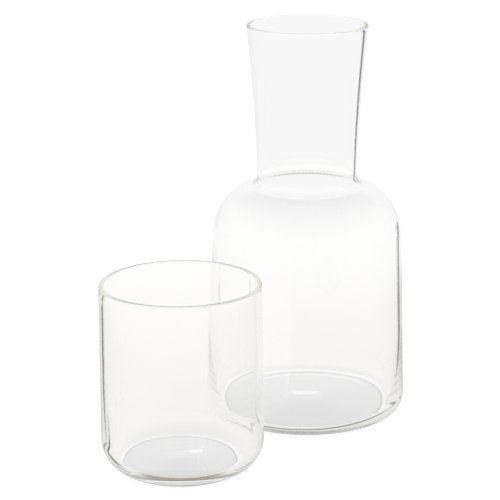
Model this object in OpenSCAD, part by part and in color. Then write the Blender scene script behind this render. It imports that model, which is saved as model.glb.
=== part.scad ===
// Bedside carafe with its tumbler: two pieces of blown clear glass that stand side by side.
// Turned over, the tumbler goes over the carafe's neck and rests on its shoulder as a lid.
// The frame has Z up, the ground at zero, and X along the line from the tumbler to the carafe.
// Each glass is one outline, [radius, height] from point to point, turned about its own axis.
// The outline goes along the underside, up the outside, round the lip and down the inside.

/* [Carafe outside] */
// Height from the foot to the top of the lip
carafe_h = 200; // [180:1:230]
// Outside diameter at the lip
mouth_d = 60.4; // [56:0.2:66]
// Outside diameter where the neck is narrowest, just above the shoulder
neck_d = 50.4; // [46:0.5:54]
// Lean of the side of the neck where it leaves the shoulder, in degrees
neck_lean = 0.6; // [0:0.1:4]
// Lean of the side of the neck at the lip, in degrees
mouth_lean = 5.9; // [3:0.1:9]
// Radius of the hollow curve where the neck meets the shoulder
neck_fillet_r = 5; // [3:0.5:7]
// Radius of the round shoulder
shoulder_r = 27; // [25:0.5:30]
// Height at which the side of the body turns into the shoulder
body_h = 93.4; // [80:0.5:105]
// Outside diameter at the top of the body
body_top_d = 95.8; // [93:0.2:99]
// Outside diameter at the heel
body_base_d = 99.8; // [99:0.2:106]
// Radius of the outside of the heel
carafe_heel_r = 8.5; // [5:0.5:11]

/* [Carafe glass] */
// Thickness of the glass at the lip
carafe_lip_wall = 2.2; // [1.6:0.1:3]
// Thickness of the glass at the narrowest part of the neck
neck_wall = 1.5; // [1.3:0.1:2.4]
// Thickness of the glass in the shoulder and the upper body
body_wall = 1.75; // [1.4:0.05:2.5]
// Thickness of the glass beside the top of the inner corner
carafe_heel_wall = 3.9; // [3:0.1:5.5]
// Height at which the wall starts to thicken towards the heel
carafe_thick_h = 45; // [30:1:70]
// Thickness of the floor
carafe_floor_t = 3.8; // [2:0.1:5]
// Radius of the inner corner between the wall and the floor
carafe_corner_r = 4.5; // [3:0.5:8]
// Height that the middle of the floor is pushed up
carafe_kick = 1.3; // [0.6:0.1:3]
// Width of the flat foot ring that the carafe stands on
carafe_foot_w = 4; // [2:0.5:8]

/* [Tumbler outside] */
// Height from the foot to the top of the lip
tumbler_h = 92; // [80:1:100]
// Outside diameter at the lip
tumbler_lip_d = 76.8; // [75:0.2:84]
// Outside diameter at the heel
tumbler_base_d = 77.8; // [75:0.2:84]
// Radius of the outside of the heel
tumbler_heel_r = 15.5; // [11:0.5:17]

/* [Tumbler glass] */
// Thickness of the glass at the lip and in the upper wall
tumbler_wall = 2.3; // [1.6:0.1:3]
// Thickness of the glass beside the top of the inner corner
tumbler_heel_wall = 3.2; // [3:0.1:4.5]
// Height at which the wall starts to thicken towards the heel
tumbler_thick_h = 46; // [32:1:60]
// Thickness of the floor
tumbler_floor_t = 4.8; // [2.5:0.1:6]
// Radius of the inner corner between the wall and the floor
tumbler_corner_r = 9.5; // [7:0.5:14]
// Height that the middle of the floor is pushed up
tumbler_kick = 1; // [0.5:0.1:2]
// Width of the flat foot ring that the tumbler stands on
tumbler_foot_w = 4; // [2:0.5:8]

/* [Set] */
// Gap left between the two glasses where they stand
set_gap = 13.9; // [5:0.1:40]

/* [Hidden] */

// Steps of the turned surfaces, and of each curve in an outline
$fn = 96;
curve_steps = 14;

// The set is centred on the origin from side to side
carafe_r = body_base_d / 2;
tumbler_r = max(tumbler_base_d, tumbler_lip_d) / 2;
axis_spacing = carafe_r + set_gap + tumbler_r;
carafe_x = (axis_spacing + tumbler_r - carafe_r) / 2;
tumbler_x = carafe_x - axis_spacing;

// Pale tint of clear glass, seen through
glass_colour = [0.86, 0.92, 0.9, 0.35];

// Centre of the outer heel's arc, from the outside diameter and the heel's radius
function heel_centre(base_d, heel_r) = [base_d / 2 - heel_r, heel_r];

// Direction from one point to another, in degrees
function direction(from, to) = atan2(to[1] - from[1], to[0] - from[0]);

// Unit vector square to a side that leans outwards as it climbs, pointing out of the glass
function square_to(lean) = [cos(lean), -sin(lean)];

// How far a side that leaves the heel's arc smoothly and ends at top leans inwards, in degrees
function side_lean(top, base_d, heel_r) =
    let (c = heel_centre(base_d, heel_r))
    direction(c, top) - acos(heel_r / norm(top - c));

// Points on an arc about c, from one angle to another
function arc(c, r, from, to) =
    [for (i = [0:curve_steps])
        let (a = from + (to - from) * i / curve_steps)
        c + r * [cos(a), sin(a)]];

// Points on a smooth curve from p to q that leaves p at one lean and reaches q at another.
// Leans are measured from the vertical and are positive where the side opens out upwards.
function sweep(p, q, lean_p, lean_q) =
    let (
        climb = (q[1] - p[1]) / 3,
        p_guide = p + climb * [tan(lean_p), 1],
        q_guide = q - climb * [tan(lean_q), 1]
    )
    [for (i = [1:curve_steps - 1])
        let (t = i / curve_steps, s = 1 - t)
        s * s * s * p + 3 * s * s * t * p_guide + 3 * s * t * t * q_guide + t * t * t * q];

// Points from the axis out to radius r, at height z there and pushed up in the middle by kick.
// The push-up is one wave of a cosine, so the glass is level in the middle and at the edge.
function pushed_up(r, z, kick) =
    [for (i = [0:curve_steps])
        let (t = i / curve_steps)
        [r * t, z + kick * (1 + cos(180 * t)) / 2]];

// Underside and outer heel: the push-up, the flat foot ring, then the arc up to the side
function foot_outline(base_d, heel_r, kick, foot_w, lean_in) =
    let (c = heel_centre(base_d, heel_r))
    concat(pushed_up(c[0] - foot_w, 0, kick), arc(c, heel_r, -90, lean_in));

// Centre of the half round of a fire-polished lip
function lip_centre(lip_d, wall, top) = [(lip_d - wall) / 2, top - wall / 2];

// The lip's half round, from the outside over the top to the inside
function lip_outline(lip_d, wall, top, lean) =
    arc(lip_centre(lip_d, wall, top), wall / 2, -lean, 180 - lean);

// Point of the lip where its half round meets the outside, or the inside where side is -1
function lip_edge(lip_d, wall, top, lean, side) =
    lip_centre(lip_d, wall, top) + side * wall / 2 * square_to(lean);

// Lower inside, going down from start: the wall thickens, then the corner, then the floor
function well_outline(start, lean_in, well_r, extra, corner_r, floor_t, kick) =
    let (
        c = [well_r - corner_r, floor_t + corner_r],
        lean = atan(2 * extra / (start[1] - c[1])),
        corner_top = c + corner_r * square_to(lean),
        floor = pushed_up(c[0], floor_t, kick)
    )
    concat(
        [start],
        sweep(start, corner_top, -lean_in, lean),
        arc(c, corner_r, -lean, -90),
        [for (i = [curve_steps - 1:-1:0]) floor[i]]
    );

// Carafe: the side leans in by body_lean from the heel to where the shoulder starts
shoulder_start = [body_top_d / 2, body_h];
body_lean = side_lean(shoulder_start, body_base_d, carafe_heel_r);
shoulder_centre = shoulder_start - shoulder_r * square_to(-body_lean);

// Centre of the fillet that touches a shoulder of radius r and stands outside a neck of radius neck_r
function fillet_centre(neck_r, fillet_r, r) =
    let (
        across = neck_r + fillet_r * cos(neck_lean),
        reach = across - shoulder_centre[0],
        up = sqrt(pow(r + fillet_r, 2) - reach * reach)
    )
    [across, shoulder_centre[1] + up];

// Shoulder of radius r and the fillet into the neck, going up
function shoulder_outline(neck_r, fillet_r, r) =
    let (c = fillet_centre(neck_r, fillet_r, r), meet = direction(shoulder_centre, c))
    concat(
        arc(shoulder_centre, r, body_lean, meet),
        arc(c, fillet_r, 180 + meet, 180 - neck_lean)
    );

// The same list from its last point to its first
function backwards(points) = [for (i = [len(points) - 1:-1:0]) points[i]];

// Shoulder, fillet and neck of one face of the glass, going up to the lip
function upper_outline(neck_r, fillet_r, r, side) =
    let (
        shoulder = shoulder_outline(neck_r, fillet_r, r),
        top = lip_edge(mouth_d, carafe_lip_wall, carafe_h, mouth_lean, side)
    )
    concat(shoulder, sweep(shoulder[len(shoulder) - 1], top, neck_lean, mouth_lean));

// A point of the carafe's inner wall at the height where it starts to thicken
carafe_inner_start = [
    shoulder_start[0] - body_wall / cos(body_lean) + (body_h - carafe_thick_h) * tan(body_lean),
    carafe_thick_h
];

function carafe_outline() =
    concat(
        foot_outline(body_base_d, carafe_heel_r, carafe_kick, carafe_foot_w, body_lean),
        upper_outline(neck_d / 2, neck_fillet_r, shoulder_r, 1),
        lip_outline(mouth_d, carafe_lip_wall, carafe_h, mouth_lean),
        backwards(upper_outline(
            neck_d / 2 - neck_wall, neck_fillet_r + neck_wall, shoulder_r - body_wall, -1
        )),
        well_outline(
            carafe_inner_start, body_lean, carafe_r - carafe_heel_wall,
            carafe_heel_wall - body_wall, carafe_corner_r, carafe_floor_t, carafe_kick
        )
    );

// Tumbler: the side runs straight from the heel to the lip
tumbler_top = [tumbler_lip_d / 2, tumbler_h - tumbler_wall / 2];
tumbler_lean = side_lean(tumbler_top, tumbler_base_d, tumbler_heel_r);

// A point of the tumbler's inner wall at the height where it starts to thicken
tumbler_inner_start = [
    tumbler_top[0] - tumbler_wall + (tumbler_top[1] - tumbler_thick_h) * tan(tumbler_lean),
    tumbler_thick_h
];

function tumbler_outline() =
    concat(
        foot_outline(tumbler_base_d, tumbler_heel_r, tumbler_kick, tumbler_foot_w, tumbler_lean),
        lip_outline(tumbler_lip_d, tumbler_wall, tumbler_h, 0),
        well_outline(
            tumbler_inner_start, tumbler_lean, tumbler_base_d / 2 - tumbler_heel_wall,
            tumbler_heel_wall - tumbler_wall, tumbler_corner_r, tumbler_floor_t, tumbler_kick
        )
    );

// One glass, turned about its axis and stood at x
module blown_glass(outline, x) {
    translate([x, 0, 0])
        rotate_extrude()
            polygon(outline);
}

module carafe() {
    color(glass_colour)
        blown_glass(carafe_outline(), carafe_x);
}

module tumbler() {
    color(glass_colour)
        blown_glass(tumbler_outline(), tumbler_x);
}

carafe();
tumbler();
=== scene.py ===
"""Looks of a bedside carafe with its tumbler: two pieces of blown clear glass on a white table.

Each glass is one outline turned about its own axis, with the sizes that the CAD source gives it.
Everything is in metres, with Z up and X along the line from the tumbler to the carafe.
"""

import math

import bmesh
import bpy
import numpy as np
from mathutils import Matrix, Vector


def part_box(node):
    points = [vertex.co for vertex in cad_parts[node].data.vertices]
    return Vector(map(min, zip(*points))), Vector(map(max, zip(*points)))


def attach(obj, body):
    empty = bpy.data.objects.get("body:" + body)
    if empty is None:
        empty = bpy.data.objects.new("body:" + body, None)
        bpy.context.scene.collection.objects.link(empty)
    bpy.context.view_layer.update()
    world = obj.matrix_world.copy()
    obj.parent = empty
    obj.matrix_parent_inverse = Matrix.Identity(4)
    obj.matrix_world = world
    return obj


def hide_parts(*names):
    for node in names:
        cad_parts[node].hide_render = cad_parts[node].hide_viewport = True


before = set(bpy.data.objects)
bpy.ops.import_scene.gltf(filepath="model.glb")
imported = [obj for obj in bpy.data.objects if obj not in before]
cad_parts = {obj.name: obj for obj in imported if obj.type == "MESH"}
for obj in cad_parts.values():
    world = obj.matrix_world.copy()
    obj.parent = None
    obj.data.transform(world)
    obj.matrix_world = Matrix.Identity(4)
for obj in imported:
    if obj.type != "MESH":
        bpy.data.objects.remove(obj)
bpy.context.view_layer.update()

bl_info = {
    "name": "Carafe with tumbler",
    "version": (1, 0, 0),
    "blender": (4, 5, 0),
    "location": "3D View > Sidebar > Carafe set",
    "description": "Blown glass carafe and tumbler on a white table in a white studio",
    "category": "Object",
}

# Steps round each glass, in each curve of an outline, and the longest step on a straight run
TURN_STEPS = 240
CURVE_STEPS = 24
LONGEST_STEP = 0.004

# Points of an outline that lie nearer than this to each other, or to the axis, are one point
SAME_PLACE = 1e-7

# Light goes round in the rims and heels many times before it comes out, so it is followed for long
GLASS_BOUNCES = 512

# The table is a disc far wider than the view, a little below the feet
TABLE_R = 2.5
TABLE_SIDES = 96
TABLE_DROP = 0.0002

# A thin line on the table and the dimmed near table fade out over these shares of their size
LINE_EDGE = 0.25
NEAR_EDGE = 0.2

# A ray's counts are whole, so a limit lies half a count away, with an edge that no count is on
HALF_COUNT = 0.5
COUNT_EDGE = 0.1

# Least and most faces of glass that a mirrored ray has gone through: none where an outer face
# mirrors the near table, and more where the glass mirrors the table or the lamp from inside
ON_OUTER_FACE = (0, 0)
TABLE_FROM_INSIDE = (1, 2)
LAMP_FROM_INSIDE = (1, 4)

# The mirrored studio goes from the front's brightness to the back's between these two shares of
# straight ahead, and dims towards the ceiling from this height of a direction upwards
FRONT_UP_TO = -0.6
BACK_FROM = 0.8
CEILING_FROM = 0.4


def linear(hex_colour):
    """An sRGB hex colour as linear red, green and blue."""
    parts = [int(hex_colour[i:i + 2], 16) / 255 for i in (1, 3, 5)]
    return tuple(c / 12.92 if c <= 0.04045 else ((c + 0.055) / 1.055) ** 2.4 for c in parts)


def width_of(name):
    """Widest diameter of a CAD node, which is round about Z."""
    low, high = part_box(name)
    return high.y - low.y


def height_of(name):
    """Height of a CAD node."""
    low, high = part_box(name)
    return high.z - low.z


def axis_of(name):
    """Where a CAD node's axis stands along X."""
    low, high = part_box(name)
    return (low.x + high.x) / 2


def length(name, description, millimetres):
    """A length that a user can change, given in millimetres."""
    return bpy.props.FloatProperty(
        name=name, description=description, default=millimetres / 1000,
        min=0, precision=4, unit="LENGTH",
    )


def spot(name, description, right, away):
    """A place on the table that a user can change, given in millimetres."""
    return bpy.props.FloatVectorProperty(
        name=name, description=description, default=(right / 1000, away / 1000),
        size=2, unit="LENGTH",
    )


def offset(name, description, millimetres):
    """A place along one direction that a user can change, given in millimetres."""
    return bpy.props.FloatProperty(
        name=name, description=description, default=millimetres / 1000,
        precision=4, unit="LENGTH",
    )


def lean(name, description, degrees):
    """A lean or a turn that a user can change, given in degrees."""
    return bpy.props.FloatProperty(
        name=name, description=description, default=math.radians(degrees), unit="ROTATION",
    )


def colour(name, description, hex_colour):
    """A colour that a user can change, given as sRGB hex."""
    return bpy.props.FloatVectorProperty(
        name=name, description=description, default=linear(hex_colour),
        min=0, max=1, size=3, subtype="COLOR",
    )


def level(name, description, default, soft_max=1.0):
    """A plain number that a user can change."""
    return bpy.props.FloatProperty(
        name=name, description=description, default=default,
        min=0, soft_max=soft_max, subtype="FACTOR",
    )


class CarafeSizes(bpy.types.PropertyGroup):
    """Sizes of the carafe. Its height and its width at the heel come from the CAD node."""

    mouth_d: length("Mouth", "Outside diameter at the lip", 60.4)
    neck_d: length("Neck", "Outside diameter where the neck is narrowest", 50.4)
    neck_lean: lean("Neck lean", "Lean of the neck where it leaves the shoulder", 0.6)
    mouth_lean: lean("Mouth lean", "Lean of the neck at the lip", 5.9)
    neck_fillet_r: length("Neck fillet", "Radius where the neck meets the shoulder", 5)
    shoulder_r: length("Shoulder", "Radius of the round shoulder", 27)
    body_h: length("Body height", "Height at which the side turns into the shoulder", 93.4)
    body_top_d: length("Body top", "Outside diameter at the top of the body", 95.8)
    heel_r: length("Heel", "Radius of the outside of the heel", 8.5)
    lip_wall: length("Lip wall", "Thickness of the glass at the lip", 2.2)
    neck_wall: length("Neck wall", "Thickness of the glass in the neck", 1.5)
    body_wall: length("Body wall", "Thickness of the glass in the upper body", 1.75)
    heel_wall: length("Heel wall", "Thickness of the glass beside the inner corner", 3.9)
    thick_h: length("Thick from", "Height at which the wall starts to thicken", 45)
    floor_t: length("Floor", "Thickness of the floor", 3.8)
    corner_r: length("Inner corner", "Radius between the wall and the floor", 4.5)
    kick: length("Push-up", "Height that the middle of the floor is pushed up", 1.3)
    foot_w: length("Foot ring", "Width of the flat ring that it stands on", 4)


class TumblerSizes(bpy.types.PropertyGroup):
    """Sizes of the tumbler. Its height and its width at the heel come from the CAD node."""

    lip_d: length("Lip", "Outside diameter at the lip", 76.8)
    heel_r: length("Heel", "Radius of the outside of the heel", 15.5)
    wall: length("Wall", "Thickness of the glass at the lip and in the upper wall", 2.3)
    heel_wall: length("Heel wall", "Thickness of the glass beside the inner corner", 3.2)
    thick_h: length("Thick from", "Height at which the wall starts to thicken", 46)
    floor_t: length("Floor", "Thickness of the floor", 4.8)
    corner_r: length("Inner corner", "Radius between the wall and the floor", 9.5)
    kick: length("Push-up", "Height that the middle of the floor is pushed up", 1)
    foot_w: length("Foot ring", "Width of the flat ring that it stands on", 4)


class GlassLook(bpy.types.PropertyGroup):
    """The glass that both pieces are blown from."""

    tint: colour("Tint", "Colour of light that has gone through a thickness of glass", "#FDFDFC")
    depth: length("Tint depth", "Thickness of glass that gives the tint", 90)
    ior: level("IOR", "Refraction of soda-lime glass", 1.52, 3.0)
    wave: length("Wave", "Distance between the soft waves that blowing leaves", 22)
    wave_h: length("Wave height", "Height of those waves", 0.004)


class StageLook(bpy.types.PropertyGroup):
    """The table, the light and the camera's stand. A place on the table is given to the camera's
    right and away from the camera."""

    table: colour("Table", "Colour of the matt white table", "#F6F6F5")
    white: level("White", "Brightness of the white that the seen table is mixed with", 1.2, 2.0)
    white_share: level("White share", "Share of that white, beside the table's own colour", 0.74)
    glass_share: level("White share in glass", "That share as the glass shows the table", 0.85)
    through: level("Through glass", "Brightness of the table as the glass shows it", 1.03, 2.0)
    mirrored_near: level("Mirrored near", "Near table's brightness on the glass's face", 0.5, 2.0)
    mirrored_up_to: length("Mirrored near up to", "How far from the middle that reaches", 320)
    near: colour("Near tone", "Table behind the feet, as the glass shows it", "#FCFBF7")
    middle: colour("Middle tone", "Table further behind, as the glass shows it", "#FFFFFF")
    far: colour("Far tone", "Table far behind, as the glass shows it", "#F6F6F7")
    near_at: length("Near tone up to", "How far behind the middle the near tone goes", 140)
    middle_at: length("Middle tone at", "How far behind the middle the middle tone lies", 380)
    far_at: length("Far tone from", "How far behind the middle the far tone starts", 650)
    # Painted shade under each glass as the glass shows it, darker at the front, with a painted
    # dark line just inside its edge
    under_front: colour("Front of the shade", "Table under a glass, on the near side", "#E4E4E5")
    under_back: colour("Back of the shade", "Table under a glass, on the far side", "#F6F6F6")
    line: colour("Line round the shade", "Table just inside the edge of the shade", "#D0D0D0")
    line_w: length("Width of that line", "Its width", 0.8)
    # Painted light round each painted shade, and in two arcs behind the carafe's
    glow: level("Glow", "Brightness of the light that the heel gathers round the shade", 1.05, 2.0)
    glow_w: length("Width of the glow", "Its width", 2.5)
    arc: level("Arcs", "Brightness of the two arcs behind the carafe's floor", 1.12, 2.0)
    arc_inner: level("Inner arc", "Share of it in the inner arc", 0.6, 1.0)
    arc_inner_r: length("Inner arc's radius", "Its radius about the carafe's axis", 36.5)
    arc_outer_r: length("Outer arc's radius", "Its radius about the carafe's axis", 44.8)
    arc_w: length("Arc's width", "Its width", 2.6)
    arc_from: length("Arc from", "How far behind the carafe's axis it starts", 18)
    arc_soft: length("Arc's ends", "How softly it starts, to each side", 8)
    # Sizes and place of the painted shade under each foot
    carafe_shade: length("Carafe's shade", "Radius of the shade under the carafe", 41)
    tumbler_shade: length("Tumbler's shade", "Radius of the shade under the tumbler", 28)
    tumbler_aside: offset("Tumbler's shade aside", "How far right its middle lies", -1.8)
    # Painted shade under each foot as the heels mirror it: a darker patch of table, brownish under
    # the tumbler, that only the glass shows from inside
    carafe_mirrored_shade: colour("Carafe foot", "Patch of table that the carafe's heel mirrors", "#E2E3DC")
    carafe_mirrored_shade_w: length("Carafe foot width", "Width of that patch", 90)
    tumbler_mirrored_shade: colour("Tumbler foot", "Patch that the tumbler's heel mirrors", "#A09380")
    tumbler_mirrored_shade_w: length("Tumbler foot width", "Width of that patch", 44)
    tumbler_mirrored_shade_at: spot("Tumbler foot at", "Its middle, from the tumbler's axis", 0, -30)
    # A painted dark ring of table that only the carafe's heel mirrors, as its dark line
    ring: colour("Heel ring", "Thin ring of table that shows as the carafe's heel line", "#9C9C8E")
    ring_r: length("Heel ring radius", "Its radius", 55.2)
    ring_w: length("Heel ring width", "Its width", 2.4)
    ring_at: spot("Heel ring at", "Its middle, from the carafe's axis", 4, 12)
    # A painted dark strip of table that only the tumbler's heel mirrors, as its left dark line
    strip_from: spot("Strip from", "Near end of the dark strip, from the tumbler's axis", -35, -13)
    strip_to: spot("Strip to", "Far end of the dark strip, from the tumbler's axis", -85, 37)
    strip_w: length("Strip width", "The strip shows as the tumbler's left heel line", 4)
    foot_soft: length("Foot softness", "How softly the patches and the strip's ends fade", 6)
    shade_soft: length("Shade's edge", "How softly the shade ends, to each side", 0.5)
    # Painted dark reflections: wedges and a strip of table that only the glass mirrors from
    # inside, as the dark lines at its edges
    dark: colour("Dark", "Tone of the two dark wedges and the strip", "#101010")
    dark_soft: lean("Dark edge", "How softly the dark wedges end, to each side", 1)
    right_from: lean("Right wedge from", "Its inner side's turn from straight ahead", 28)
    right_to: lean("Right wedge to", "Its outer side's turn from straight ahead", 40)
    right_end: length("Right wedge end", "How far behind the middle it ends", 800)
    left_from: lean("Left wedge from", "Its inner side's turn from straight ahead", 28)
    left_to: lean("Left wedge to", "Its outer side's turn from straight ahead", 36)
    left_end: length("Left wedge end", "How far behind the middle it ends", 180)
    ceiling: level("Ceiling", "Share of its brightness that the mirrored studio has overhead", 0.2)
    lamp: level("Lamp", "Strip lamp's brightness, as the glass mirrors it", 1.9, 10.0)
    lamp_h: lean("Lamp's height", "How high above the horizon the lamp's middle stands", 20)
    lamp_tall: lean("Lamp's half height", "How far it reaches up and down", 1.6)
    lamp_turn: lean("Lamp's turn", "How far to the right of straight ahead the lamp stands", 1.6)
    lamp_wide: lean("Lamp's half width", "How far it reaches to each side", 2)
    lamp_soft: lean("Lamp's edge", "How softly it ends, to each side", 0.8)
    back: level("Back", "Brightness of the studio, and of its far side as mirrored", 0.94, 2.0)
    front: level("Front", "Brightness on the camera's side, as the glass mirrors it", 0.9, 2.0)
    camera_x: offset("Camera X", "Where the camera stands along X", -758.2)
    camera_y: offset("Camera Y", "Where the camera stands along Y", -567.5)
    camera_z: offset("Camera Z", "Where the camera stands along Z", 366.3)
    heading: lean("Heading", "Camera's turn from +Y towards +X", 53.10173)
    pitch: lean("Pitch", "How far the camera looks down", 16.00844)
    roll: lean("Roll", "How far the camera leans to its right", 0.33)
    lens: bpy.props.FloatProperty(
        name="Lens", description="Focal length on a 36 mm sensor", default=144.8, unit="CAMERA",
    )


class SetSettings(bpy.types.PropertyGroup):
    """All settings of the set."""

    carafe: bpy.props.PointerProperty(type=CarafeSizes, name="Carafe", description="Its sizes")
    tumbler: bpy.props.PointerProperty(type=TumblerSizes, name="Tumbler", description="Its sizes")
    glass: bpy.props.PointerProperty(type=GlassLook, name="Glass", description="Its look")
    stage: bpy.props.PointerProperty(type=StageLook, name="Stage", description="Its look")


def heel_centre(base_r, heel_r):
    """Centre of the outer heel's arc, as [radius, height] like every point of an outline."""
    return np.array([base_r - heel_r, heel_r])


def direction(start, end):
    """Direction from one point to another."""
    return math.atan2(end[1] - start[1], end[0] - start[0])


def square_to(lean_out):
    """Unit vector square to a side that leans outwards as it climbs, pointing out of the glass."""
    return np.array([math.cos(lean_out), -math.sin(lean_out)])


def side_lean(top, base_r, heel_r):
    """How far a side that leaves the heel's arc smoothly and ends at top leans inwards."""
    centre = heel_centre(base_r, heel_r)
    return direction(centre, top) - math.acos(heel_r / np.linalg.norm(top - centre))


def arc(centre, radius, start, end):
    """Points on an arc, from one angle to another."""
    return [
        centre + radius * np.array([math.cos(a), math.sin(a)])
        for a in np.linspace(start, end, CURVE_STEPS + 1)
    ]


def sweep(p, q, lean_p, lean_q):
    """Points on a smooth curve from p to q that leaves p at one lean and reaches q at another."""
    climb = (q[1] - p[1]) / 3
    p_guide = p + climb * np.array([math.tan(lean_p), 1])
    q_guide = q - climb * np.array([math.tan(lean_q), 1])
    return [
        (1 - t) ** 3 * p + 3 * (1 - t) ** 2 * t * p_guide
        + 3 * (1 - t) * t * t * q_guide + t ** 3 * q
        for t in np.linspace(0, 1, 2 * CURVE_STEPS + 1)
    ]


def pushed_up(radius, z, kick):
    """Points from the axis out to radius at height z, raised in the middle by a cosine."""
    return [
        np.array([radius * t, z + kick * (1 + math.cos(math.pi * t)) / 2])
        for t in np.linspace(0, 1, CURVE_STEPS + 1)
    ]


def foot_outline(base_r, heel_r, kick, foot_w, lean_in):
    """Underside and outer heel: the push-up, the flat foot ring, then the arc up to the side."""
    centre = heel_centre(base_r, heel_r)
    return pushed_up(centre[0] - foot_w, 0, kick) + arc(centre, heel_r, -math.pi / 2, lean_in)


def lip_centre(lip_r, wall, top):
    """Centre of the half round of a fire-polished lip."""
    return np.array([lip_r - wall / 2, top - wall / 2])


def lip_outline(lip_r, wall, top, lean_out):
    """The lip's half round, from the outside over the top to the inside."""
    return arc(lip_centre(lip_r, wall, top), wall / 2, -lean_out, math.pi - lean_out)


def well_outline(start, lean_in, well_r, extra, corner_r, floor_t, kick):
    """Lower inside, going down from start: the thickening wall, the corner, then the floor."""
    centre = np.array([well_r - corner_r, floor_t + corner_r])
    lean_out = math.atan(2 * extra / (start[1] - centre[1]))
    corner_top = centre + corner_r * square_to(lean_out)
    floor = pushed_up(centre[0], floor_t, kick)
    wall = sweep(start, corner_top, -lean_in, lean_out)
    return wall + arc(centre, corner_r, -lean_out, -math.pi / 2) + floor[::-1]


def shoulder_outline(neck_r, neck_lean, fillet_r, centre, shoulder_r, body_lean):
    """Round shoulder and the fillet into the neck, going up."""
    across = neck_r + fillet_r * math.cos(neck_lean)
    up = math.sqrt((shoulder_r + fillet_r) ** 2 - (across - centre[0]) ** 2)
    fillet_centre = np.array([across, centre[1] + up])
    meet = direction(centre, fillet_centre)
    shoulder = arc(centre, shoulder_r, body_lean, meet)
    return shoulder + arc(fillet_centre, fillet_r, math.pi + meet, math.pi - neck_lean)


def carafe_outline(s, height, width):
    """The carafe's outline: underside, outside, lip and inside."""
    base_r = width / 2
    start = np.array([s.body_top_d / 2, s.body_h])
    body_lean = side_lean(start, base_r, s.heel_r)
    centre = start - s.shoulder_r * square_to(-body_lean)
    lip = lip_centre(s.mouth_d / 2, s.lip_wall, height)
    faces = []
    for inwards, side in ((0, 1), (1, -1)):
        face = shoulder_outline(
            s.neck_d / 2 - inwards * s.neck_wall, s.neck_lean,
            s.neck_fillet_r + inwards * s.neck_wall, centre,
            s.shoulder_r - inwards * s.body_wall, body_lean,
        )
        edge = lip + side * s.lip_wall / 2 * square_to(s.mouth_lean)
        faces.append(face + sweep(face[-1], edge, s.neck_lean, s.mouth_lean))
    wider = (s.body_h - s.thick_h) * math.tan(body_lean)
    inner_x = start[0] - s.body_wall / math.cos(body_lean) + wider
    well = well_outline(
        np.array([inner_x, s.thick_h]), body_lean, base_r - s.heel_wall, s.heel_wall - s.body_wall,
        s.corner_r, s.floor_t, s.kick,
    )
    foot = foot_outline(base_r, s.heel_r, s.kick, s.foot_w, body_lean)
    rim = lip_outline(s.mouth_d / 2, s.lip_wall, height, s.mouth_lean)
    return foot + faces[0] + rim + faces[1][::-1] + well


def tumbler_outline(s, height, width):
    """The tumbler's outline: underside, outside, lip and inside."""
    base_r = width / 2
    top = np.array([s.lip_d / 2, height - s.wall / 2])
    lean_in = side_lean(top, base_r, s.heel_r)
    inner_x = top[0] - s.wall + (top[1] - s.thick_h) * math.tan(lean_in)
    well = well_outline(
        np.array([inner_x, s.thick_h]), lean_in, base_r - s.heel_wall, s.heel_wall - s.wall,
        s.corner_r, s.floor_t, s.kick,
    )
    foot = foot_outline(base_r, s.heel_r, s.kick, s.foot_w, lean_in)
    return foot + lip_outline(s.lip_d / 2, s.wall, height, 0) + well


def stepped(points):
    """The same outline with repeated points left out and its long straight runs cut into steps."""
    kept = [points[0]]
    for point in points[1:]:
        gap = np.linalg.norm(point - kept[-1])
        if gap < SAME_PLACE:
            continue
        steps = math.ceil(gap / LONGEST_STEP)
        start = kept[-1]
        kept += [start + (point - start) * i / steps for i in range(1, steps + 1)]
    return kept


def blown(name, outline, axis_x):
    """One glass as a smooth closed mesh: its outline turned about its axis and stood at axis_x."""
    points = stepped(outline)
    turns = np.linspace(0, 2 * math.pi, TURN_STEPS, endpoint=False)
    mesh = bmesh.new()
    rings = []
    for radius, z in points:
        if radius < SAME_PLACE:
            rings.append([mesh.verts.new((axis_x, 0, z))] * TURN_STEPS)
        else:
            rings.append([
                mesh.verts.new((axis_x + radius * math.cos(a), radius * math.sin(a), z))
                for a in turns
            ])
    for lower, upper in zip(rings, rings[1:]):
        for i in range(TURN_STEPS):
            j = (i + 1) % TURN_STEPS
            corners = dict.fromkeys((lower[i], lower[j], upper[j], upper[i]))
            mesh.faces.new(corners).smooth = True
    data = bpy.data.meshes.new(name)
    mesh.to_mesh(data)
    mesh.free()
    glass = bpy.data.objects.new(name, data)
    bpy.context.scene.collection.objects.link(glass)
    return glass


def node(tree, kind, inputs=None, **settings):
    """Adds a node with its settings, each input as a value or as the socket it comes from."""
    made = tree.nodes.new(kind)
    for name, value in settings.items():
        setattr(made, name, value)
    for name, value in (inputs or {}).items():
        if isinstance(value, bpy.types.NodeSocket):
            tree.links.new(value, made.inputs[name])
        else:
            made.inputs[name].default_value = value
    return made


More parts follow.
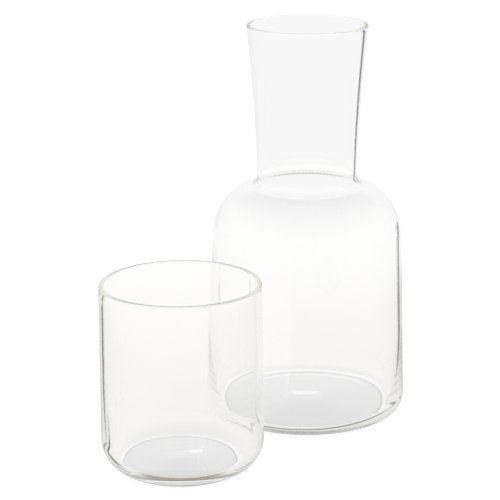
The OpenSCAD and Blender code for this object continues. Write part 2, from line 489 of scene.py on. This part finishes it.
def blown_soda_lime_glass(look):
    """Blown soda-lime glass. It is clear and smooth, takes a faint warm grey where it is seen
    through its depth, and keeps the soft waves of blowing, so the lines at its edges waver."""
    name = "blown soda-lime glass"
    if name in bpy.data.materials:
        return bpy.data.materials[name]
    material = bpy.data.materials.new(name)
    material.use_nodes = True
    tree = material.node_tree
    tree.nodes.clear()
    place = node(tree, "ShaderNodeTexCoord")
    waves = node(
        tree, "ShaderNodeTexNoise",
        {
            "Vector": place.outputs["Object"], "Scale": 1 / look.wave,
            "Detail": 1.0, "Roughness": 0.4,
        },
    )
    surface = node(
        tree, "ShaderNodeBump",
        {"Strength": 1.0, "Distance": look.wave_h, "Height": waves.outputs["Fac"]},
    )
    shader = node(
        tree, "ShaderNodeBsdfPrincipled",
        {
            "Base Color": (1, 1, 1, 1), "Roughness": 0.0, "IOR": look.ior,
            "Transmission Weight": 1.0, "Normal": surface.outputs["Normal"],
        },
    )
    # Absorption leaves exp(-(1 - colour) * density * way), which is the tint after its depth
    inside = node(
        tree, "ShaderNodeVolumeAbsorption",
        {"Color": (*(1 + math.log(c) for c in look.tint), 1), "Density": 1 / look.depth},
    )
    end = node(tree, "ShaderNodeOutputMaterial")
    tree.links.new(shader.outputs["BSDF"], end.inputs["Surface"])
    tree.links.new(inside.outputs["Volume"], end.inputs["Volume"])
    return material


def in_any(tree, *masks):
    """How far something lies in any of several masks: the largest of them, from 0 to 1."""
    most = masks[0]
    for mask in masks[1:]:
        most = node(tree, "ShaderNodeMath", {0: most, 1: mask}, operation="MAXIMUM").outputs[0]
    return most


def reflected(tree, path):
    """1 for a ray that has been mirrored in or on the glass, and 0 for one that hasn't."""
    return node(
        tree, "ShaderNodeMath", {0: path.outputs["Glossy Depth"], 1: HALF_COUNT},
        operation="GREATER_THAN",
    ).outputs[0]


def between(tree, value, low, high, soft):
    """1 where a value lies between low and high, and 0 outside, with soft edges."""
    up, down = (
        node(
            tree, "ShaderNodeMapRange",
            {"Value": value, "From Min": edge - soft, "From Max": edge + soft},
            interpolation_type="SMOOTHSTEP",
        ).outputs[0]
        for edge in (low, high)
    )
    return node(tree, "ShaderNodeMath", {0: up, 1: down}, operation="SUBTRACT").outputs[0]


def on_table(name, look):
    """Where a glass's axis stands on the table, to the camera's right and away from the camera."""
    x = axis_of(name)
    return Vector((x * math.cos(look.heading), x * math.sin(look.heading), 0))


def mirrored_after(tree, path, least, most):
    """1 for a mirrored ray that has gone through this many faces of glass, and 0 for others."""
    faces = between(
        tree, path.outputs["Transmission Depth"],
        least - HALF_COUNT, most + HALF_COUNT, COUNT_EDGE,
    )
    return node(
        tree, "ShaderNodeMath", {0: faces, 1: reflected(tree, path)}, operation="MULTIPLY",
    ).outputs[0]


def painted_dark_wedges(tree, look, across, along):
    """How far a place on the table lies in one of the two painted dark wedges, from 0 to 1. They
    start beside the set and run away from the camera, and the glass mirrors them from inside as
    the dark line at each outer edge."""
    wedges = []
    for side, name, turn_from, turn_to, end in (
        (1, "carafe", look.right_from, look.right_to, look.right_end),
        (-1, "tumbler", look.left_from, look.left_to, look.left_end),
    ):
        foot = on_table(name, look)
        to_outer_side = -side * foot.x - width_of(name) / 2
        out = node(
            tree, "ShaderNodeMath", {0: across, 1: side, 2: to_outer_side},
            operation="MULTIPLY_ADD",
        ).outputs[0]
        ahead = node(
            tree, "ShaderNodeMath", {0: along, 1: foot.y}, operation="SUBTRACT",
        ).outputs[0]
        turn = node(
            tree, "ShaderNodeMath", {0: out, 1: ahead}, operation="ARCTAN2",
        ).outputs[0]
        beside = between(tree, turn, turn_from, turn_to, look.dark_soft)
        before_end = node(
            tree, "ShaderNodeMath", {0: along, 1: end}, operation="LESS_THAN",
        ).outputs[0]
        wedges.append(node(
            tree, "ShaderNodeMath", {0: beside, 1: before_end}, operation="MULTIPLY",
        ).outputs[0])
    return in_any(tree, *wedges)


def shaded(tree, look, place, along, white):
    """The white as the glass shows it, with painted shade in a round patch under each foot.
    Painted light, for the light that the heels gather, rings each patch, and at the carafe's also
    lies in two arcs at the back of its patch."""
    for name, radius, shift in (
        ("carafe", look.carafe_shade, 0), ("tumbler", look.tumbler_shade, look.tumbler_aside),
    ):
        foot = on_table(name, look) + Vector((shift, 0, 0))
        away = node(
            tree, "ShaderNodeVectorMath", {0: place, 1: foot}, operation="DISTANCE",
        ).outputs["Value"]
        # Painted shade: a round patch under the foot, shaded from front to back
        patch = between(tree, away, -radius, radius, look.shade_soft)
        back = node(
            tree, "ShaderNodeMapRange",
            {"Value": along, "From Min": foot.y - radius, "From Max": foot.y + radius},
        ).outputs[0]
        shade = node(
            tree, "ShaderNodeMix",
            {0: back, 6: (*look.under_front, 1), 7: (*look.under_back, 1)}, data_type="RGBA",
        ).outputs[2]
        # A painted dark line just inside the shade's edge, and painted light in a ring just
        # outside it
        line = between(tree, away, radius - look.line_w, radius, look.shade_soft)
        halo = between(tree, away, radius, radius + look.glow_w, look.shade_soft)
        for part, tone, blend in (
            (halo, (look.glow, look.glow, look.glow, 1), "MIX"), (patch, shade, "MIX"),
            (line, (*look.line, 1), "MULTIPLY"),
        ):
            white = node(
                tree, "ShaderNodeMix", {0: part, 6: white, 7: tone},
                data_type="RGBA", blend_type=blend,
            ).outputs[2]
    return node(
        tree, "ShaderNodeMix",
        {0: arcs(tree, look, place, along), 6: white, 7: (look.arc, look.arc, look.arc, 1)},
        data_type="RGBA",
    ).outputs[2]


def arcs(tree, look, place, along):
    """Share of the painted light, for what the carafe's heel gathers, in two arcs at the back of
    its painted shade.
    """
    foot = on_table("carafe", look)
    half_w = look.arc_w / 2
    both = in_any(tree, *(
        node(
            tree, "ShaderNodeMath",
            {
                0: round_patch(
                    tree, place, foot, radius - half_w, radius + half_w, look.shade_soft,
                ),
                1: share,
            },
            operation="MULTIPLY",
        ).outputs[0]
        for radius, share in ((look.arc_inner_r, look.arc_inner), (look.arc_outer_r, 1.0))
    ))
    # From behind the axis to well beyond the outer arc
    back = between(
        tree, along, foot.y + look.arc_from, foot.y + 2 * look.arc_outer_r, look.arc_soft,
    )
    return node(tree, "ShaderNodeMath", {0: both, 1: back}, operation="MULTIPLY").outputs[0]


def round_patch(tree, place, middle, inner, outer, soft):
    """1 for a place on the table that lies this far from a middle, and 0 elsewhere."""
    away = node(
        tree, "ShaderNodeVectorMath", {0: place, 1: middle}, operation="DISTANCE",
    ).outputs["Value"]
    return between(tree, away, inner, outer, soft)


def strip(tree, place, start, end, width, soft_end):
    """1 for a place on the table that lies on a straight strip, and 0 elsewhere."""
    way = (end - start).normalized()
    from_start = node(
        tree, "ShaderNodeVectorMath", {0: place, 1: start}, operation="SUBTRACT",
    ).outputs[0]
    along, aside = (
        node(
            tree, "ShaderNodeVectorMath", {0: from_start, 1: line}, operation="DOT_PRODUCT",
        ).outputs["Value"]
        for line in (way, Vector((-way.y, way.x, 0)))
    )
    return node(
        tree, "ShaderNodeMath",
        {
            0: between(tree, along, 0, (end - start).length, soft_end),
            1: between(tree, aside, -width / 2, width / 2, LINE_EDGE * width),
        },
        operation="MULTIPLY",
    ).outputs[0]


def seen_through(tree, look, place, along):
    """White of the table as the glass shows it: warm just behind the feet and dimmer far away."""
    white = (*look.near, 1)
    for start, end, tone in (
        (look.near_at, look.middle_at, look.middle), (look.middle_at, look.far_at, look.far),
    ):
        step = node(
            tree, "ShaderNodeMapRange", {"Value": along, "From Min": start, "From Max": end},
            interpolation_type="SMOOTHSTEP",
        )
        white = node(
            tree, "ShaderNodeMix", {0: step.outputs[0], 6: white, 7: (*tone, 1)}, data_type="RGBA",
        ).outputs[2]
    return shaded(tree, look, place, along, white)


def matt_white_table(look):
    """Matt white laminate. It is even and without shine, so the glass stands on plain white. The
    camera sees only that. As the glass shows it, it has painted shade under each foot with painted
    light round it, the glass's outer face mirrors it dimmer near the set, and where the glass
    mirrors it from inside it has painted dark places, which show as the thin lines at the sides
    and heels."""
    material = bpy.data.materials.new("matt white laminate")
    material.use_nodes = True
    tree = material.node_tree
    tree.nodes.clear()
    path = node(tree, "ShaderNodeLightPath")
    place = node(tree, "ShaderNodeTexCoord").outputs["Object"]
    across, along, _ = node(tree, "ShaderNodeSeparateXYZ", {0: place}).outputs
    matt = node(tree, "ShaderNodeBsdfDiffuse", {"Color": (*look.table, 1)}).outputs[0]
    in_glass = in_any(tree, path.outputs["Is Glossy Ray"], path.outputs["Is Transmission Ray"])
    away = node(
        tree, "ShaderNodeVectorMath", {0: place}, operation="LENGTH",
    ).outputs["Value"]
    near_by = between(
        tree, away, -look.mirrored_up_to, look.mirrored_up_to, NEAR_EDGE * look.mirrored_up_to,
    )
    on_face = node(
        tree, "ShaderNodeMath", {0: near_by, 1: mirrored_after(tree, path, *ON_OUTER_FACE)},
        operation="MULTIPLY",
    ).outputs[0]
    level_seen = node(
        tree, "ShaderNodeMix", {0: on_face, 2: look.through, 3: look.mirrored_near},
        data_type="FLOAT",
    ).outputs[0]
    surface = matt
    for rays, share, colour_seen, strength in (
        (in_glass, look.glass_share, seen_through(tree, look, place, along), level_seen),
        (path.outputs["Is Camera Ray"], look.white_share, (1, 1, 1, 1), look.white),
    ):
        white = node(
            tree, "ShaderNodeEmission", {"Color": colour_seen, "Strength": strength},
        ).outputs[0]
        part = node(tree, "ShaderNodeMath", {0: rays, 1: share}, operation="MULTIPLY").outputs[0]
        surface = node(tree, "ShaderNodeMixShader", {0: part, 1: surface, 2: white}).outputs[0]
    # Painted shade and painted dark reflections that only the glass mirrors from inside
    for tone, mask in mirrored_tones(tree, look, place, across, along):
        picked = node(
            tree, "ShaderNodeMath", {0: mask, 1: mirrored_after(tree, path, *TABLE_FROM_INSIDE)},
            operation="MULTIPLY",
        ).outputs[0]
        toned = node(tree, "ShaderNodeEmission", {"Color": (*tone, 1), "Strength": 1.0}).outputs[0]
        surface = node(tree, "ShaderNodeMixShader", {0: picked, 1: surface, 2: toned}).outputs[0]
    end = node(tree, "ShaderNodeOutputMaterial")
    tree.links.new(surface, end.inputs["Surface"])
    return material


def mirrored_tones(tree, look, place, across, along):
    """Painted dark tones of the table that only the glass mirrors from inside, each with its mask:
    painted shade in a patch at each foot, and painted dark places for the carafe's heel line, the
    tumbler's left one, and the two wedges."""
    carafe, tumbler = (on_table(name, look) for name in ("carafe", "tumbler"))
    carafe_reach = look.carafe_mirrored_shade_w / 2
    tumbler_reach = look.tumbler_mirrored_shade_w / 2
    half_ring = look.ring_w / 2
    return (
        # Painted shade under each foot, as the heels mirror it
        (
            look.carafe_mirrored_shade,
            round_patch(tree, place, carafe, -carafe_reach, carafe_reach, look.foot_soft),
        ),
        (
            look.tumbler_mirrored_shade,
            round_patch(
                tree, place, tumbler + Vector((*look.tumbler_mirrored_shade_at, 0)),
                -tumbler_reach, tumbler_reach, look.foot_soft,
            ),
        ),
        # Painted dark ring that the carafe's heel mirrors as its dark line
        (
            look.ring,
            round_patch(
                tree, place, carafe + Vector((*look.ring_at, 0)),
                look.ring_r - half_ring, look.ring_r + half_ring, LINE_EDGE * look.ring_w,
            ),
        ),
        # Painted dark strip that the tumbler's heel mirrors as its left dark line
        (
            look.dark,
            strip(
                tree, place, tumbler + Vector((*look.strip_from, 0)),
                tumbler + Vector((*look.strip_to, 0)), look.strip_w, look.foot_soft,
            ),
        ),
        (look.dark, painted_dark_wedges(tree, look, across, along)),
    )


def studio_light(look):
    """A white studio. It lights the set at one even level, and the camera sees it as plain white.
    What the glass mirrors of it is bright behind the set, dimmer on the camera's side and
    overhead, and has a strip lamp behind the set that only mirrored light shows."""
    world = bpy.data.worlds.new("white studio")
    bpy.context.scene.world = world
    world.use_nodes = True
    tree = world.node_tree
    tree.nodes.clear()
    path = node(tree, "ShaderNodeLightPath")
    way = node(tree, "ShaderNodeTexCoord").outputs["Generated"]
    depth, aside = (
        node(
            tree, "ShaderNodeVectorMath", {0: way, 1: line}, operation="DOT_PRODUCT",
        ).outputs["Value"]
        for line in (
            (math.sin(look.heading), math.cos(look.heading), 0),
            (math.cos(look.heading), -math.sin(look.heading), 0),
        )
    )
    level_round = node(
        tree, "ShaderNodeMapRange",
        {
            "Value": depth, "From Min": FRONT_UP_TO, "From Max": BACK_FROM,
            "To Min": look.front, "To Max": look.back,
        },
        interpolation_type="SMOOTHSTEP",
    ).outputs[0]
    height = node(tree, "ShaderNodeSeparateXYZ", {0: way}).outputs[2]
    overhead = node(
        tree, "ShaderNodeMapRange",
        {
            "Value": height, "From Min": CEILING_FROM, "From Max": 1.0,
            "To Min": 1.0, "To Max": look.ceiling,
        },
    ).outputs[0]
    mirrored = node(
        tree, "ShaderNodeMath", {0: level_round, 1: overhead}, operation="MULTIPLY",
    ).outputs[0]
    turn = node(tree, "ShaderNodeMath", {0: aside, 1: depth}, operation="ARCTAN2").outputs[0]
    climb = node(tree, "ShaderNodeMath", {0: height}, operation="ARCSINE").outputs[0]
    across_lamp, up_lamp = (
        between(tree, angle, middle - reach, middle + reach, look.lamp_soft)
        for angle, middle, reach in (
            (turn, look.lamp_turn, look.lamp_wide), (climb, look.lamp_h, look.lamp_tall),
        )
    )
    lamp = node(
        tree, "ShaderNodeMath", {0: across_lamp, 1: up_lamp}, operation="MULTIPLY",
    ).outputs[0]
    shown = node(
        tree, "ShaderNodeMath", {0: lamp, 1: mirrored_after(tree, path, *LAMP_FROM_INSIDE)},
        operation="MULTIPLY",
    ).outputs[0]
    bright = node(
        tree, "ShaderNodeMix", {0: shown, 2: mirrored, 3: look.lamp}, data_type="FLOAT",
    ).outputs[0]
    passed = node(
        tree, "ShaderNodeMix", {0: reflected(tree, path), 2: look.back, 3: bright},
        data_type="FLOAT",
    ).outputs[0]
    strength = node(
        tree, "ShaderNodeMix", {0: path.outputs["Is Camera Ray"], 2: passed, 3: 1.0},
        data_type="FLOAT",
    ).outputs[0]
    sky = node(tree, "ShaderNodeBackground", {"Color": (1, 1, 1, 1), "Strength": strength})
    end = node(tree, "ShaderNodeOutputWorld")
    tree.links.new(sky.outputs[0], end.inputs["Surface"])


def table_top(look):
    """The table, a flat disc under the set that isn't part of it."""
    mesh = bmesh.new()
    bmesh.ops.create_circle(mesh, cap_ends=True, radius=TABLE_R, segments=TABLE_SIDES)
    data = bpy.data.meshes.new("table")
    mesh.to_mesh(data)
    mesh.free()
    table = bpy.data.objects.new("table", data)
    table.location.z = -TABLE_DROP
    table.rotation_euler.z = -look.heading
    data.materials.append(matt_white_table(look))
    bpy.context.scene.collection.objects.link(table)


def camera_stand(look):
    """The camera, where the photograph was taken from."""
    ahead = Vector((
        math.sin(look.heading) * math.cos(look.pitch),
        math.cos(look.heading) * math.cos(look.pitch),
        -math.sin(look.pitch),
    ))
    level_right = Vector((math.cos(look.heading), -math.sin(look.heading), 0))
    level_down = ahead.cross(level_right)
    right = level_right * math.cos(look.roll) + level_down * math.sin(look.roll)
    up = right.cross(ahead)
    lens = bpy.data.cameras.new("camera")
    lens.lens = look.lens
    camera = bpy.data.objects.new("camera", lens)
    stand = Matrix.Translation((look.camera_x, look.camera_y, look.camera_z))
    camera.matrix_world = stand @ Matrix((right, up, -ahead)).transposed().to_4x4()
    bpy.context.scene.collection.objects.link(camera)
    bpy.context.scene.camera = camera


class BlowCarafe(bpy.types.Operator):
    """Make the carafe and stand it in place of its CAD node"""

    bl_idname = "carafe_set.carafe"
    bl_label = "Carafe"

    def execute(self, context):
        settings = context.scene.carafe_set
        outline = carafe_outline(settings.carafe, height_of("carafe"), width_of("carafe"))
        glass = blown("blown_carafe", outline, axis_of("carafe"))
        glass.data.materials.append(blown_soda_lime_glass(settings.glass))
        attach(glass, "carafe")
        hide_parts("carafe")
        return {"FINISHED"}


class BlowTumbler(bpy.types.Operator):
    """Make the tumbler and stand it in place of its CAD node"""

    bl_idname = "carafe_set.tumbler"
    bl_label = "Tumbler"

    def execute(self, context):
        settings = context.scene.carafe_set
        outline = tumbler_outline(settings.tumbler, height_of("tumbler"), width_of("tumbler"))
        glass = blown("blown_tumbler", outline, axis_of("tumbler"))
        glass.data.materials.append(blown_soda_lime_glass(settings.glass))
        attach(glass, "tumbler")
        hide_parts("tumbler")
        return {"FINISHED"}


class SetStage(bpy.types.Operator):
    """Make the table, the studio's light and the camera"""

    bl_idname = "carafe_set.stage"
    bl_label = "Stage"

    def execute(self, context):
        look = context.scene.carafe_set.stage
        table_top(look)
        studio_light(look)
        camera_stand(look)
        context.scene.view_settings.view_transform = "Standard"
        paths = context.scene.cycles
        paths.max_bounces = paths.transmission_bounces = paths.glossy_bounces = GLASS_BOUNCES
        return {"FINISHED"}


class SetPanel(bpy.types.Panel):
    """Buttons that make the pieces, and their settings"""

    bl_idname = "VIEW3D_PT_carafe_set"
    bl_label = "Carafe set"
    bl_space_type = "VIEW_3D"
    bl_region_type = "UI"
    bl_category = "Carafe set"

    def draw(self, context):
        settings = context.scene.carafe_set
        for operator, group in (
            (BlowCarafe, settings.carafe), (BlowTumbler, settings.tumbler),
            (None, settings.glass), (SetStage, settings.stage),
        ):
            box = self.layout.box()
            if operator:
                box.operator(operator.bl_idname)
            for name in group.__annotations__:
                box.prop(group, name)


CLASSES = (
    CarafeSizes, TumblerSizes, GlassLook, StageLook, SetSettings,
    BlowCarafe, BlowTumbler, SetStage, SetPanel,
)


def register():
    """Registers the classes and gives the scene its settings."""
    for made in CLASSES:
        bpy.utils.register_class(made)
    bpy.types.Scene.carafe_set = bpy.props.PointerProperty(type=SetSettings)


def unregister():
    """Takes the settings and the classes away again."""
    del bpy.types.Scene.carafe_set
    for made in reversed(CLASSES):
        bpy.utils.unregister_class(made)


def main():
    register()
    bpy.ops.carafe_set.carafe()
    bpy.ops.carafe_set.tumbler()
    bpy.ops.carafe_set.stage()


if __name__ == "__main__":
    main()
